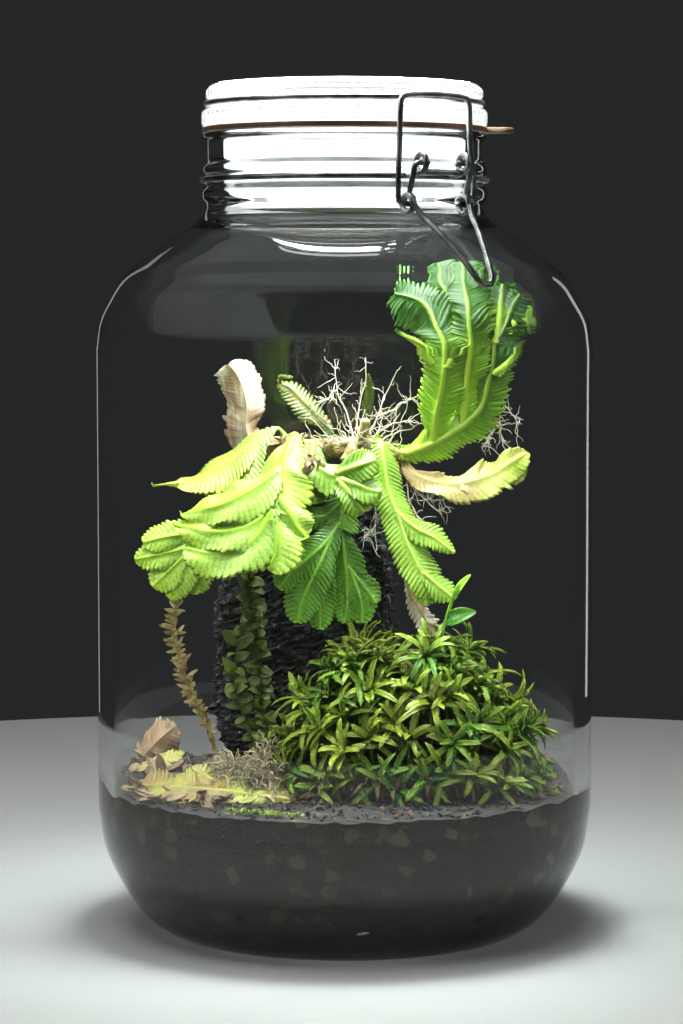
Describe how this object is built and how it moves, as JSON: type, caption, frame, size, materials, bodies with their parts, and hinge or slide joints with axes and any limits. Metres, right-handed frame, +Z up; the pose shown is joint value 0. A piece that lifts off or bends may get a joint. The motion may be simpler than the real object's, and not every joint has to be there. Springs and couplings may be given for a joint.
{
  "type": "jar terrarium",
  "caption": "Clip-top glass jar with a hinged lid and wire latch, planted with a crested fern on a fibre post, strap-leaved rosettes and fallen fronds on dark soil.",
  "frame": {"origin": "on the jar's axis, at the surface it stands on", "axes": "+Z up, -Y towards the wire latch, +Y towards the lid's hinge"},
  "size_m": [0.208, 0.208, 0.3525],
  "materials": {
    "jar_glass": "clear polished",
    "lid_glass": "clear polished",
    "gasket_rubber": "matte",
    "dark_wire": "dark burnished wire",
    "soil": "damp crumbly potting mix",
    "post_fibre": "coarse black fibre",
    "rhizome": "scaly",
    "pale_frond": "glossy leaf",
    "green_frond": "glossy leaf",
    "olive_frond": "satin leaf",
    "blush_frond": "satin leaf",
    "dead_frond": "dry leaf",
    "roots": "fine pale threads",
    "climber": "satin leaf",
    "bush_leaves": "glossy leaf",
    "dried_moss": "dry moss",
    "fallen_frond": "wilting leaf",
    "husk": "dry leaf"
  },
  "bodies": {
    "jar_body": {"jar": "jar_glass", "neck_ring": "dark_wire", "soil": "soil", "fibre_post": "post_fibre", "rhizome": "rhizome", "frond_front_left": "pale_frond", "frond_left_narrow": "pale_frond", "frond_left_low": "green_frond", "frond_back_left": "olive_frond", "frond_dead_stub": "dead_frond", "frond_young": "olive_frond", "frond_centre": "green_frond", "frond_low_centre": "green_frond", "frond_right_hanging": "green_frond", "frond_right_fan": "pale_frond", "frond_blush": "blush_frond", "frond_dead_hanging": "dead_frond", "roots_top": "roots", "roots_right": "roots", "roots_low": "roots", "climber": "climber", "dried_fern": "dead_frond", "bush": "bush_leaves", "side_shoot": "bush_leaves", "dried_moss": "dried_moss", "fallen_frond_front": "fallen_frond", "fallen_frond_back": "fallen_frond", "fallen_husk": "husk"},
    "lid_body": {"lid": "lid_glass", "gasket": "gasket_rubber", "lid_ring": "dark_wire"},
    "lever_body": {"latch_lever": "dark_wire"},
    "bail_body": {"latch_bail": "dark_wire"}
  },
  "joints": [
    {"name": "lid_hinge", "type": "hinge", "parent": "jar_body", "child": "lid_body", "pos_m": [0, 0.067, 0.336], "axis": [-1, 0, 0], "range_deg": [0, 195]},
    {"name": "lever_pivot", "type": "hinge", "parent": "jar_body", "child": "lever_body", "pos_m": [0, -0.068, 0.318], "axis": [-1, 0, 0], "range_deg": [0, 100]},
    {"name": "bail_pivot", "type": "hinge", "parent": "lever_body", "child": "bail_body", "pos_m": [0, -0.064, 0.302], "axis": [-1, 0, 0], "range_deg": [-110, 0]}
  ],
  "couplings": [
    {"joint": "bail_pivot", "follows": "lever_pivot", "ratio": -1.1}
  ]
}
